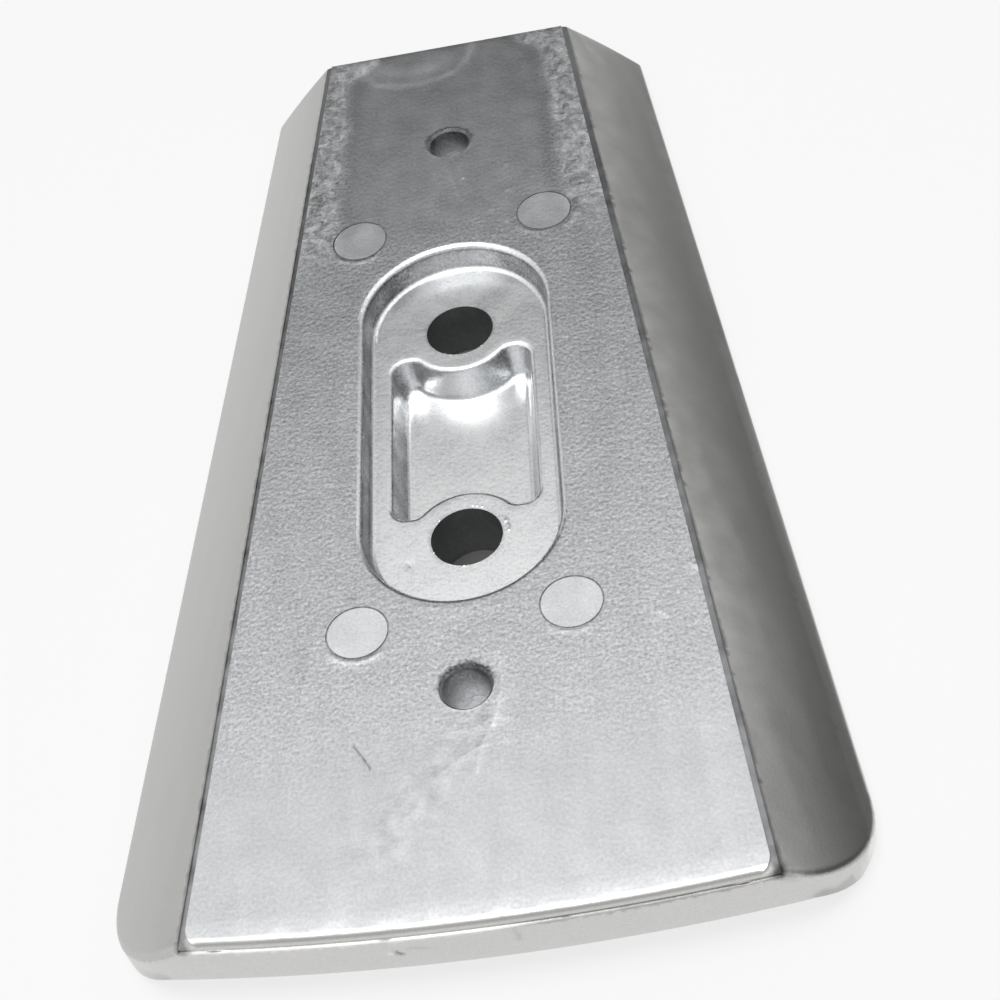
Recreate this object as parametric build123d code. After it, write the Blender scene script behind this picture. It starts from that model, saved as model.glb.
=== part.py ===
"""Bolt-on sacrificial anode: a tapered plate, die cast in one piece.

Sizes are millimetres. X runs across the plate, +Y to its narrow end and +Z out of the
bolted face. The origin is midway between the two bolt holes, on the flat back.
"""
import math
import os

from build123d import *

# Plate
thickness = 12.0
narrow_end_reach = 75.5
wide_end_reach = 73.75
rim_height = 2.2
narrow_end_width = 56.4
wide_end_width = 88.9
flank_crown = 0.22
wide_end_arc_radius = 290.0
corner_radius = 12.0
nose_underside_radius = 7.3
nose_underside_overlap = 0.06
bottom_edge_radius = 1.2
rim_edge_radius = 1.1
narrow_end_edge_radius = 0.7

# Raised face between the flanks
face_narrow_width = 35.8
face_wide_width = 63.8
face_edge_radius = 1.1
face_corner_radius = 2.2
nose_ledge_width = 0.35
side_groove_width = 0.7
side_groove_depth = 0.55

# Bolt recess
bolt_spacing = 36.0
bolt_hole_diameter = 9.0
recess_end_radius = 12.3
recess_depth = 3.8
recess_draft = 4.0
recess_rim_radius = 0.9
recess_foot_radius = 0.8

# Pocket between the two bolt bosses
pocket_width = 18.6
pocket_length = 27.5
pocket_depth = 5.0
pocket_draft = 10.0
pocket_corner_radius = 2.1
pocket_rim_radius = 0.7
pocket_foot_radius = 1.2
boss_radius = 7.3
boss_blend_radius = 1.8

# Blind holes on the centre line
blind_hole_diameter = 5.7
blind_hole_depth = 6.0
blind_hole_rim_chamfer = 0.35
blind_hole_narrow_y = 52.5
blind_hole_wide_y = -43.2

# Round marks left by the ejector pins
pin_mark_diameter = 7.7
pin_mark_ring_width = 0.22
pin_mark_ring_depth = 0.2
pin_mark_narrow_place = (12.9, 34.7)
pin_mark_wide_place = (12.7, -33.3)

# Places that follow from the sizes above
narrow_end_y = narrow_end_reach
nose_y = -wide_end_reach
nose_centre_y = nose_y + wide_end_arc_radius
recess_floor_z = thickness - recess_depth
ledge_z = thickness - face_edge_radius
bolt_ys = (bolt_spacing / 2, -bolt_spacing / 2)

# How far cutting shapes run past the plate, and how closely edges and corners are picked
overrun = 6.0
overrun_angle = 3.0
pick_margin = 0.1
exact_margin = 0.01


def half_width(y, narrow_width, wide_width):
    """Half of a width that tapers evenly from the wide end to the narrow end."""
    share = (y - nose_y) / (narrow_end_y - nose_y)
    return (wide_width + (narrow_width - wide_width) * share) / 2


def arc_y(x, apex_y):
    """Where an arc about the wide end's centre, with its apex at apex_y, stands at x."""
    radius = nose_centre_y - apex_y
    return nose_centre_y - math.sqrt(radius**2 - x**2)


def plate_section(y):
    """Cross-section of the plate, left long at top and bottom: upright rims and crowned flanks."""
    rim = half_width(y, narrow_end_width, wide_end_width)
    face = half_width(y, face_narrow_width, face_wide_width)
    slope = Vector(face - rim, thickness - rim_height)
    outward = Vector(slope.Y, -slope.X).normalized() * flank_crown
    middle = Vector((rim + face) / 2, (rim_height + thickness) / 2) + outward
    top = thickness + overrun
    outline = Curve() + [
        Line((-rim, -overrun), (rim, -overrun)),
        Line((rim, -overrun), (rim, rim_height)),
        ThreePointArc((rim, rim_height), (middle.X, middle.Y), (face, thickness)),
        Line((face, thickness), (face, top)),
        Line((face, top), (-face, top)),
        Line((-face, top), (-face, thickness)),
        ThreePointArc((-face, thickness), (-middle.X, middle.Y), (-rim, rim_height)),
        Line((-rim, rim_height), (-rim, -overrun)),
    ]
    return Plane((0, y, 0), x_dir=(1, 0, 0), z_dir=(0, -1, 0)) * make_face(outline)


def tapered_plan(narrow_width, wide_width, apex_y, end_y, radius, spread=0.0):
    """Plan with tapering sides, a bowed wide end and two rounded corners there."""
    far = half_width(end_y, narrow_width, wide_width) + spread
    side_y = arc_y(wide_width / 2, apex_y)
    near = half_width(side_y, narrow_width, wide_width) + spread
    outline = Curve() + [
        Line((-far, end_y), (far, end_y)),
        Line((far, end_y), (near, side_y)),
        ThreePointArc((near, side_y), (0, apex_y), (-near, side_y)),
        Line((-near, side_y), (-far, end_y)),
    ]
    plan = make_face(outline)
    if radius == 0:
        return plan
    return fillet(plan.vertices().group_by(Axis.Y)[0], radius)


def turn_about_nose_centre(profile):
    """Sweep a profile drawn in the YZ plane round the centre of the wide end's arc."""
    half_angle = math.degrees(math.asin(wide_end_width / 2 / wide_end_arc_radius)) + overrun_angle
    axis = Axis((0, nose_centre_y, 0), (0, 0, 1))
    turned = revolve(Plane.YZ * profile, axis, 2 * half_angle)
    return turned.rotate(axis, -half_angle)


def nose_underside():
    """What is taken off below the wide end so that its underside rounds up to the wall."""
    reach = nose_underside_radius - nose_underside_overlap
    side = reach + overrun
    corner = Pos(nose_y - overrun, -overrun) * Rectangle(side, side, align=(Align.MIN, Align.MIN))
    rounding = Pos(nose_y + reach, reach) * Circle(nose_underside_radius)
    return turn_about_nose_centre(corner - rounding)


def plate():
    """The plate with its rounded outer edges, before the bolted face is worked."""
    outline = tapered_plan(
        narrow_end_width, wide_end_width, nose_y, narrow_end_y, corner_radius
    )
    sections = [plate_section(narrow_end_y), plate_section(nose_y - overrun)]
    blank = loft(sections, ruled=True) & extrude(outline, thickness)
    rims = [e for e in blank.edges() if e.length > narrow_end_reach and is_level(e, rim_height)]
    blank = fillet(rims, rim_edge_radius)
    end_edges = [e for e in blank.edges() if e.bounding_box().min.Y > narrow_end_y - exact_margin]
    above_rim = rim_height + rim_edge_radius
    blank = fillet([e for e in end_edges if e.center().Z > above_rim], narrow_end_edge_radius)
    blank = blank - nose_underside()
    back_sides = [e for e in blank.edges() if is_level(e, 0) and abs(e.center().X) > pick_margin]
    return fillet(back_sides, bottom_edge_radius)


def is_level(edge, z):
    """Whether an edge lies flat at a height."""
    box = edge.bounding_box()
    return abs(box.min.Z - z) < exact_margin and abs(box.max.Z - z) < exact_margin


def face_border():
    """Groove along both sides of the raised face, open at its rounded wide corners."""
    half_groove = side_groove_width / 2
    around = tapered_plan(
        face_narrow_width, face_wide_width, nose_y - overrun, narrow_end_y + overrun, 0, half_groove
    )
    inside = tapered_plan(
        face_narrow_width,
        face_wide_width,
        nose_y + nose_ledge_width,
        narrow_end_y + overrun,
        face_corner_radius,
        -half_groove,
    )
    floor = Pos(0, 0, thickness - side_groove_depth)
    return floor * extrude(around - inside, side_groove_depth + overrun)


def nose_face_edge():
    """Quarter round and narrow ledge that end the raised face at the wide end."""
    edge_y = nose_y + nose_ledge_width
    inner_y = edge_y + face_edge_radius
    outline = Curve() + [
        RadiusArc((inner_y, thickness), (edge_y, ledge_z), -face_edge_radius),
        Line((edge_y, ledge_z), (nose_y - overrun, ledge_z)),
        Line((nose_y - overrun, ledge_z), (nose_y - overrun, thickness + overrun)),
        Line((nose_y - overrun, thickness + overrun), (inner_y, thickness + overrun)),
        Line((inner_y, thickness + overrun), (inner_y, thickness)),
    ]
    between_flanks = tapered_plan(
        face_narrow_width, face_wide_width, nose_y - overrun, 0, 0, side_groove_width / 2
    )
    return turn_about_nose_centre(make_face(outline)) & extrude(between_flanks, thickness + overrun)


def recess():
    """Obround recess round both bolt heads, its walls drafted towards the floor."""
    plan = SlotCenterToCenter(bolt_spacing, 2 * recess_end_radius, rotation=90)
    return extrude(Pos(0, 0, thickness) * plan, -recess_depth, taper=recess_draft)


def pocket():
    """Pocket between the bolt bosses: straight sides and ends scalloped round the bosses."""
    plan = Rectangle(pocket_width, pocket_length)
    corners = plan.vertices()
    for y in bolt_ys:
        plan -= Pos(0, y) * Circle(boss_radius)
    plan = fillet([v for v in plan.vertices() if is_among(v, corners)], pocket_corner_radius)
    cusps = [v for v in plan.vertices() if abs(distance_to_bolt(v) - boss_radius) < exact_margin]
    plan = fillet(cusps, boss_blend_radius)
    return extrude(Pos(0, 0, recess_floor_z) * plan, -pocket_depth, taper=pocket_draft)


def is_among(point, others):
    """Whether a point coincides with one of some others."""
    return any((Vector(*point) - Vector(*other)).length < exact_margin for other in others)


def distance_to_bolt(point):
    """Plan distance from a point to the nearer bolt axis."""
    return min(math.hypot(point.X, point.Y - y) for y in bolt_ys)


def blind_hole(y):
    """Flat-bottomed hole on the centre line, its rim broken by a small chamfer."""
    radius = blind_hole_diameter / 2
    rim_radius = radius + blind_hole_rim_chamfer
    outline = Polyline(
        (0, -blind_hole_depth),
        (radius, -blind_hole_depth),
        (radius, -blind_hole_rim_chamfer),
        (rim_radius, 0),
        (rim_radius, overrun),
        (0, overrun),
        close=True,
    )
    return Pos(0, y, thickness) * revolve(Plane.XZ * make_face(outline), Axis.Z)


def pin_mark(x, y):
    """Fine ring round a flat disc where an ejector pin stood."""
    outer = pin_mark_diameter / 2
    ring = Circle(outer) - Circle(outer - pin_mark_ring_width)
    return extrude(Pos(x, y, thickness - pin_mark_ring_depth) * ring, 2 * pin_mark_ring_depth)


def edges_on(body, z, inside_y, inside_x):
    """Edges that lie flat at a height, within a distance of the middle of the plate."""
    found = []
    for edge in body.edges():
        box = edge.bounding_box()
        reach_y = max(abs(box.min.Y), box.max.Y)
        if is_level(edge, z) and reach_y < inside_y and box.max.X < inside_x:
            found.append(edge)
    return found


def anode_body():
    """The whole anode."""
    body = plate()
    body -= face_border()
    body -= nose_face_edge()
    body -= recess()
    reach_y = bolt_spacing / 2 + recess_end_radius + pick_margin
    reach_x = recess_end_radius + pick_margin
    body = fillet(edges_on(body, thickness, reach_y, reach_x), recess_rim_radius)
    body = fillet(edges_on(body, recess_floor_z, reach_y, reach_x), recess_foot_radius)
    body -= pocket()
    pocket_y = pocket_length / 2 + pick_margin
    pocket_x = pocket_width / 2 + pick_margin
    body = fillet(edges_on(body, recess_floor_z, pocket_y, pocket_x), pocket_rim_radius)
    floor_z = recess_floor_z - pocket_depth
    body = fillet(edges_on(body, floor_z, pocket_y, pocket_x), pocket_foot_radius)
    for y in bolt_ys:
        body -= Pos(0, y, 0) * Cylinder(bolt_hole_diameter / 2, 2 * (thickness + overrun))
    for y in (blind_hole_narrow_y, blind_hole_wide_y):
        body -= blind_hole(y)
    for x, y in (pin_mark_narrow_place, pin_mark_wide_place):
        body -= pin_mark(x, y)
        body -= pin_mark(-x, y)
    return body


def main():
    os.makedirs("parts", exist_ok=True)
    export_step(anode_body(), "parts/anode_body.step")


if __name__ == "__main__":
    main()
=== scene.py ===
"""Studio scene of a bolt-on sacrificial anode, die cast in one piece.

Sizes are millimetres on the part, and metres once they reach Blender. The part lies on its
flat back, with its narrow end towards +Y and the bolted face up.
"""

import math

import bmesh
import bpy
import numpy as np
from mathutils import Matrix, Vector, noise
from mathutils.bvhtree import BVHTree
from mathutils.geometry import delaunay_2d_cdt
from mathutils.kdtree import KDTree

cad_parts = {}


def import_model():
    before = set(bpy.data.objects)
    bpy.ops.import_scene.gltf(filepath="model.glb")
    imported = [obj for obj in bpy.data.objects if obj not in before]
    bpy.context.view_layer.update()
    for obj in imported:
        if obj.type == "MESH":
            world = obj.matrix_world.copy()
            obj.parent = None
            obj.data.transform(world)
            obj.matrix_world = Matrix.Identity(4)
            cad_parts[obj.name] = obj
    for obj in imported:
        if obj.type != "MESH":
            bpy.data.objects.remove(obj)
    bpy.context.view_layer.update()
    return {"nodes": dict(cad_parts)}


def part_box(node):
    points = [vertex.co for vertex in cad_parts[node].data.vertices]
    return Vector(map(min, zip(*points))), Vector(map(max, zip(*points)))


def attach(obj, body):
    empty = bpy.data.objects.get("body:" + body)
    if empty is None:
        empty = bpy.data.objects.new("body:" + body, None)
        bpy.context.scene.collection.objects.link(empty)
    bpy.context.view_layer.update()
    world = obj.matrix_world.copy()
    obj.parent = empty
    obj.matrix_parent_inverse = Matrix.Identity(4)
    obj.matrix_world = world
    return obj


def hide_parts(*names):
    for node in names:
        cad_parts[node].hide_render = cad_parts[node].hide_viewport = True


MM = 0.001

# View of the reference picture
CAMERA_PLACE = (34.504, -181.828, 200.121)
CAMERA_AIM = (4.914, -16.256, 12.0)
CAMERA_ROLL = -16.247
FOCAL_LENGTH = 75.045
SENSOR_WIDTH = 36.0

# Places on the casting that its finish follows
FACE_Z = 12.0
RECESS_FLOOR_Z = 8.2
POCKET_FLOOR_Z = 3.2
BOLT_YS = (18.0, -18.0)
BOLT_HOLE_RADIUS = 4.5
RECESS_REACH = 12.3
RECESS_RIM = 0.9
BLIND_HOLE_YS = (52.5, -43.2)
BLIND_HOLE_RADIUS = 2.85
PIN_MARK_RADIUS = 3.85
PIN_MARK_RING = 0.22
PIN_MARK_PLACES = ((-12.9, 34.7), (12.9, 34.7), (-12.7, -33.3), (12.7, -33.3))
NOSE_ARC_RADIUS = 290.0
NOSE_LEDGE_Z = 10.9
RIM_TOP_Z = 3.6
FACE_HALF_NARROW = 17.9
FACE_HALF_WIDE = 31.9
FOOT_HALF_NARROW = 28.2
FOOT_HALF_WIDE = 44.45

# The face rolls off a little towards the wide end, and rounds over above a ledge there; how far from
# the wide end the corners of the face and of the plate reach
NOSE_ROLL_OFF = 0.06
NOSE_ROLL_REACH = (1.2, 3.4)
NOSE_ROUND = 1.1
NOSE_ROUND_BACK = 1.45
NOSE_ROUND_SLACK = 0.15
FACE_CORNER_REACH = 2.6
OUTER_CORNER_REACH = 14.0

# Fineness of the casting's mesh
WELD = 1e-6
FINE_STEP = 0.56
STRIP_STEP = 1.25
BACK_STEP = 2.6
PATCH_ANGLE = math.radians(3.0)
PATCH_LEAST_AREA = 38.0 * MM**2
PATCH_MOST_TURN = math.radians(25.0)
PATCH_LIFT = 0.5 * MM
SHARP_ANGLE = math.radians(38.0)
SCATTER = 0.18
CLEAR_OF_BORDER = 0.6
CLEAR_OF_MARKS = 0.5
DOWNWARD = -0.9
STILL_Z = 0.3


# Marks on the casting, in millimetres

ARC_STEP = 0.4
MARK_STEP = 0.24
MARK_REACH = 1.2
MARK_ROWS_REACH = 1.6


def arc_path(centre, radius, start, stop):
    """Points along an arc on the raised face; angles in degrees."""
    count = max(3, math.ceil(abs(math.radians(stop - start)) * radius / ARC_STEP))
    angles = [math.radians(start + (stop - start) * i / (count - 1)) for i in range(count)]
    return on_face(*((centre[0] + radius * math.cos(a), centre[1] + radius * math.sin(a)) for a in angles))


def on_face(*places):
    """Points on the raised face."""
    return [(x, y, FACE_Z) for x, y in places]


# Each mark: its path, half width, rise or sink, and how much it lightens or darkens
MARKS = (
    # Raised lips beside the ejector-pin marks, lightened on the side towards the wide end as a painted
    # highlight, and dull spots outside the upper two
    (arc_path((-12.7, -33.3), 4.32, -140, -52), 0.26, 0.07, 0.26),
    (arc_path((12.7, -33.3), 4.28, -132, -66), 0.20, 0.04, 0.20),
    (arc_path((-12.9, 34.7), 4.32, -142, -60), 0.24, 0.05, 0.22),
    (arc_path((12.9, 34.7), 4.28, -150, -88), 0.20, 0.04, 0.18),
    (arc_path((12.9, 34.7), 4.60, -52, -20), 0.22, 0.05, 0.26),
    (on_face((-17.3, 36.2), (-17.0, 35.0)), 0.80, -0.02, -0.30),
    (on_face((17.2, 35.4), (17.3, 34.2)), 0.60, -0.02, -0.30),
    # Kidney-shaped flow mark at the narrow end: its outline and its pale inside
    (
        on_face(
            (-12.7, 72.9), (-12.2, 70.3), (-10.4, 68.4), (-7.1, 67.4), (-4.0, 67.1),
            (-1.0, 67.7), (1.3, 68.7), (3.0, 70.9), (3.7, 73.1), (4.0, 74.3),
        ),
        0.60, 0.0, 0.45,
    ),
    (on_face((-10.6, 72.2), (-8.0, 70.6), (-4.0, 70.2), (-0.8, 71.2)), 2.00, 0.0, 0.42),
    # Pale wisps between the narrow end's blind hole and the recess
    (on_face((-0.6, 47.7), (0.5, 43.6), (1.3, 39.7)), 0.26, 0.01, 0.10),
    (on_face((1.2, 47.4), (1.9, 44.0), (3.0, 41.0)), 0.22, 0.01, 0.08),
    (on_face((-2.4, 46.6), (-1.6, 42.2)), 0.22, 0.01, 0.07),
    # Crack beside the left groove, and the scratch near the wide end
    (
        on_face((-19.6, 46.2), (-18.7, 44.2), (-19.3, 42.6), (-18.2, 40.6), (-18.6, 38.4)),
        0.20, -0.04, -0.30,
    ),
    (on_face((-12.8, -49.5), (-11.9, -50.9), (-11.1, -52.4)), 0.11, -0.05, -0.50),
    # Faint ridges round the recess, and small spots on the face beside it
    (arc_path((0, -18), 13.9, -116, -82), 0.20, 0.02, 0.08),
    (arc_path((0, -18), 14.8, -108, -74), 0.18, 0.02, 0.07),
    (on_face((-13.8, -27.8), (-13.4, -27.8)), 0.34, -0.03, -0.25),
    (on_face((-19.5, -34.6), (-19.2, -36.8), (-19.4, -39.0)), 0.80, -0.01, -0.10),
    (on_face((27.0, -30.6), (27.5, -30.8)), 0.50, 0.05, 0.30),
    (on_face((23.0, -37.0), (23.4, -37.4)), 0.36, 0.04, 0.26),
    (on_face((26.0, -49.5), (27.0, -56.0), (27.8, -62.7)), 1.60, 0.0, 0.05),
    # Branching ridge that runs from the wide end's blind hole
    (on_face((3.9, -38.6), (4.2, -43.0), (3.3, -47.8), (1.6, -51.4), (0.9, -54.8)), 0.28, 0.04, 0.14),
    (on_face((3.3, -47.8), (0.2, -49.4), (-2.4, -49.0)), 0.20, 0.02, 0.10),
    (on_face((1.6, -51.4), (-1.2, -53.0), (-3.9, -55.2)), 0.20, 0.02, 0.10),
    (on_face((3.0, -48.6), (4.6, -51.6)), 0.18, 0.02, 0.08),
    # Painted shade at the right groove's end, where a small pit lies in shadow, and the dent on the flank
    # beside it
    ([(32.3, -71.6, 11.5), (33.0, -72.3, 11.0)], 0.90, 0.0, -0.60),
    (
        [(31.2, -66.1, 6.2), (32.9, -66.4, 5.0), (31.9, -68.3, 5.6), (31.2, -66.1, 6.2)],
        0.40, -0.16, -0.55,
    ),
    # Nicks in the wide end's wall
    ([(-9.7, -73.4, 8.4), (-9.4, -73.4, 8.4)], 0.28, 0.05, 0.30),
    ([(-8.9, -73.4, 8.5), (-8.6, -73.4, 8.1)], 0.28, -0.06, -0.85),
    ([(-7.9, -73.4, 9.2), (-6.2, -73.5, 8.9), (-4.6, -73.5, 8.7)], 0.16, -0.03, -0.40),
    ([(3.9, -73.5, 10.4), (4.2, -73.5, 9.2), (4.2, -73.5, 8.2)], 0.24, -0.02, -0.30),
    # Pit in the recess floor, and the dull spot under the burrs there
    ([(-7.4, -21.1, RECESS_FLOOR_Z), (-7.2, -21.3, RECESS_FLOOR_Z)], 0.20, -0.10, -0.45),
    (
        [(4.9, -15.9, RECESS_FLOOR_Z), (5.3, -17.0, RECESS_FLOOR_Z), (5.1, -18.0, RECESS_FLOOR_Z)],
        0.30, 0.0, -0.40,
    ),
)

# A trail of small blisters near the wide end
BLISTER_TRAIL = on_face((3.5, -47.0), (-2.0, -52.0), (-6.0, -58.0), (-9.5, -63.0))
BLISTER_REACH = 3.4
BLISTER_TONE = 0.16

# Small light specks on the raised face: their places, how each runs on, and what a mark says of it
SPECKS = ((7.9, 45.5), (8.0, 40.1), (7.5, 34.0), (-1.8, 64.3), (5.5, 36.6), (5.6, 31.4))
SPECK_RUN = (0.2, 0.1)
SPECK_MARK = (0.20, 0.03, 0.28)


def all_marks():
    """The marks with the specks among them."""
    specks = [(on_face((x, y), (x + SPECK_RUN[0], y + SPECK_RUN[1])), *SPECK_MARK) for x, y in SPECKS]
    return list(MARKS) + specks


def mark_points():
    """Rows of points along every mark, close enough for the mesh to carry its shape."""
    points = []
    for path, half_width, rise, _ in all_marks():
        if rise == 0:
            continue
        rows = max(1, round(MARK_ROWS_REACH * half_width / MARK_STEP))
        for start, stop in zip(path, path[1:]):
            start, stop = Vector(start), Vector(stop)
            run = stop - start
            steps = max(1, round(run.length / MARK_STEP))
            aside = run.cross(Vector((0, 0, 1))).normalized()
            for i in range(steps + 1):
                for row in range(-rows, rows + 1):
                    points.append(tuple(start + run * i / steps + aside * row * MARK_STEP))
    return points


def distance_to_path(places, path):
    """Distance from every place to a path."""
    nearest = np.full(len(places), np.inf)
    for start, stop in zip(np.array(path[:-1]), np.array(path[1:])):
        run = stop - start
        share = np.clip((places - start) @ run / max(run @ run, 1e-9), 0, 1)
        nearest = np.minimum(nearest, np.linalg.norm(places - start - share[:, None] * run, axis=1))
    return nearest


# Relief of the cast skin

# Frosted bands along both sides of the narrow end, each with a dull strip inside its border
FROST_BEGINS = (26, 38)
FROST_BORDER_YS = (30, 37, 55, 66, 70, 74)
FROST_BORDER_XS = (17.4, 16.2, 15.2, 14.8, 14.2, 10.5)
FROST_BORDER_SOFTNESS = 0.8
FROST_BORDER_WARP = 0.6
DULL_STRIP_BEGINS = (30, 42)
DULL_STRIP_INSET = 1.5
DULL_STRIP_TONE = -0.13

# Where the skin is smoother than elsewhere, and by what share
SKIN_WARP = 1.2
SKIN_WARP_SIZE = 5.0
SMOOTH_MIDDLE_HALF = (12, 17)
SMOOTH_MIDDLE_BEGINS = (28, 40)
SMOOTH_MIDDLE_SHARE = 0.55
SMOOTH_WIDE_END = (-58, -38)
SMOOTH_WIDE_END_SHARE = 0.66
SMOOTH_FROST_SHARE = 0.3

# Ripples of the skin: lump size and seed, then their height all over, and what coarse, frosted and
# blistered skin adds to it
SKIN_RIPPLES = (
    (7.0, 1, 0.003, 0.0, 0.0, 0.0),
    (1.9, 2, 0.002, 0.003, 0.008, 0.0),
    (0.95, 4, 0.001, 0.001, 0.004, 0.007),
)

# The ripples calm down beside narrow features, and by the wide end down to a rest of them
CALM_BY_EDGES = (0.2, 1.4)
CALM_BY_NOSE = (1.6, 5.0)
CALM_BY_NOSE_REST = 0.3

# Faint streaks of tone that run along the face
STREAK_TONE = 0.05
STREAK_STRETCH = (1.0, 0.12, 1.0)
STREAK_SIZE = 1.6

# How ragged the marks and the grooves' shading are: share, lump size and seed of each ripple
RAGGED_MARKS = ((0.35, 0.8, 5), (0.2, 0.35, 6))
RAGGED_GROOVES = ((0.3, 2.2, 7), (0.2, 0.9, 8))

# Painted shade on the steep walls of the recess and pocket: how much darker all of them are, those that
# face right, those that face left
RECESS_WALLS_DARKER = (0.40, 0.42, 0.40)
POCKET_WALLS_DARKER = (0.0, 0.66, 0.20)
WALL_STEEP = (0.25, 0.75)
WALL_LEANING = (0.60, 0.985)
WALL_FACES_RIGHT = (0.10, 0.7)
WALL_FACES_LEFT = (0.20, 0.8)
POCKET_FACES_LEFT = (0.5, 0.95)

# Painted shade and highlights that the narrow features and the right flank add to the finish's own tone
GROOVE_TONE = -0.52
GROOVE_FADES = (42, 72)
GROOVE_FADE_SHARE = 0.75
LEDGE_TONE = 0.25
LEDGE_DARKER = 0.70
LEDGE_DARKENS = (0, 9)
RIM_TONE = 0.45
CHAMFER_TONE = 0.20
CHAMFER_DARKER = 0.92
PIN_RING_TONE = -0.40
FLANK_TOP_TONE = 0.30
FLANK_TOP_LIGHTER = 0.45
FLANK_TOP_LIGHTENS = (-65, -35)
FLANK_FOOT_DARKER = 0.42


def ease(low, high, value):
    """Smooth step from nought at low to one at high."""
    share = np.clip((value - low) / (high - low), 0, 1)
    return share * share * (3 - 2 * share)


def ripple(places, size, seed):
    """Seeded noise at every place, with lumps about as wide as size."""
    shift = Vector((seed * 17.3, seed * 5.1, seed * 9.7))
    return np.array([noise.noise(Vector(place) / size + shift) for place in places])


def ragged(places, ripples):
    """One at every place, more or less by ripples that are given as share, size and seed."""
    return sum((share * ripple(places, size, seed) for share, size, seed in ripples), 1)


def room_around(bm, tag):
    """Distance in millimetres from every point to the nearest narrow feature of the casting."""
    narrow = [vert.co for vert in bm.verts if any(face[tag] == 0 for face in vert.link_faces)]
    near = KDTree(len(narrow))
    for index, place in enumerate(narrow):
        near.insert(place, index)
    near.balance()
    return np.array([near.find(vert.co)[2] for vert in bm.verts]) / MM


def between_ends(y, low_y, high_y, wide, narrow):
    """A half width at y that runs evenly from the wide end to the narrow one."""
    return wide + (narrow - wide) * (y - low_y) / (high_y - low_y)


def nose_edge(x, low_y):
    """Where the bowed wide end lies at x."""
    return low_y + NOSE_ARC_RADIUS - np.sqrt(NOSE_ARC_RADIUS**2 - x**2)


def skin_fields(places):
    """How frosted and how coarse the skin is at every place, and how near the frost's dull strip."""
    x, y, z = places.T
    on_top = ease(FACE_Z - 0.5, FACE_Z - 0.1, z)
    warp = SKIN_WARP * ripple(places, SKIN_WARP_SIZE, 3)
    along = y + 2 * warp
    past_border = np.abs(x) + FROST_BORDER_WARP * warp - np.interp(y, FROST_BORDER_YS, FROST_BORDER_XS)
    band = ease(-FROST_BORDER_SOFTNESS, FROST_BORDER_SOFTNESS, past_border) * ease(*FROST_BEGINS, along)
    band *= on_top
    middle = (1 - ease(*SMOOTH_MIDDLE_HALF, np.abs(x) + warp)) * ease(*SMOOTH_MIDDLE_BEGINS, along)
    near = 1 - ease(*SMOOTH_WIDE_END, along)
    coarse = on_top * (1 - SMOOTH_MIDDLE_SHARE * middle) * (1 - SMOOTH_WIDE_END_SHARE * near)
    coarse *= 1 - SMOOTH_FROST_SHARE * band
    beside = np.exp(-((past_border + DULL_STRIP_INSET) ** 2)) * ease(*DULL_STRIP_BEGINS, y) * on_top
    return band, coarse, beside


def give_relief(bm, low_y, high_y):
    """Move every point of the casting a little, as the cast skin and its marks run, and keep each point's
    marks together with its painted shade and highlights.
    """
    bm.normal_update()
    layers = [bm.verts.layers.float.new(name) for name in ("frost", "coarse", "marks_and_painted_shade")]
    verts = list(bm.verts)
    places = np.array([vert.co[:] for vert in verts]) / MM
    normals = np.array([vert.normal[:] for vert in verts])
    room = room_around(bm, bm.faces.layers.int["patch"])
    band, coarse, beside_band = skin_fields(places)
    x, y, z = places.T
    half = between_ends(y, low_y, high_y, FACE_HALF_WIDE, FACE_HALF_NARROW)
    foot = between_ends(y, low_y, high_y, FOOT_HALF_WIDE, FOOT_HALF_NARROW)
    from_nose = y - nose_edge(x, low_y)
    blisters = np.exp(-((distance_to_path(places, BLISTER_TRAIL) / BLISTER_REACH) ** 2))
    lumps = [ripple(places, size, seed) for size, seed, *_ in SKIN_RIPPLES]
    rise = np.zeros(len(verts))
    for lump, (_, _, plain, if_coarse, if_frosted, if_blistered) in zip(lumps, SKIN_RIPPLES):
        rise += (plain + if_coarse * coarse + if_frosted * band + if_blistered * blisters) * lump
    calm_by_nose = CALM_BY_NOSE_REST + (1 - CALM_BY_NOSE_REST) * ease(*CALM_BY_NOSE, from_nose)
    rise *= ease(*CALM_BY_EDGES, room) * calm_by_nose
    below = np.clip((FACE_Z - z) / (FACE_Z - NOSE_LEDGE_Z), 0, 1)
    roll_off = NOSE_ROLL_OFF * (1 - ease(*NOSE_ROLL_REACH, from_nose)) * (1 - below)
    tone = DULL_STRIP_TONE * beside_band
    wobble = ragged(places, RAGGED_MARKS)
    for path, half_width, height, change in all_marks():
        reach = distance_to_path(places, path) * wobble
        weight = np.exp(-((reach / half_width) ** 2))
        rise += height * weight * ease(0.0, 0.3, room)
        tone += change * weight
    tone += BLISTER_TONE * blisters * (lumps[1] + lumps[2])
    streaks = ripple(places * STREAK_STRETCH, STREAK_SIZE, 9)
    tone += STREAK_TONE * ease(FACE_Z - 0.1, FACE_Z, z) * streaks
    rise[z < STILL_Z] = 0
    # Painted shade and highlights of the walls, grooves, ledge, rims, chamfers, pin rings and right flank
    # join the marks here
    tone += wall_shade(places, normals) + edge_shade(places, normals, half, low_y)
    tone += flank_shade(places, normals, half, foot)
    moved = places + normals * rise[:, None]
    moved[:, 2] -= roll_off
    fields = np.stack((band, coarse, tone), axis=1)
    for vert, place, values in zip(verts, moved, fields):
        vert.co = Vector(place) * MM
        for layer, value in zip(layers, values):
            vert[layer] = float(value)


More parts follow.
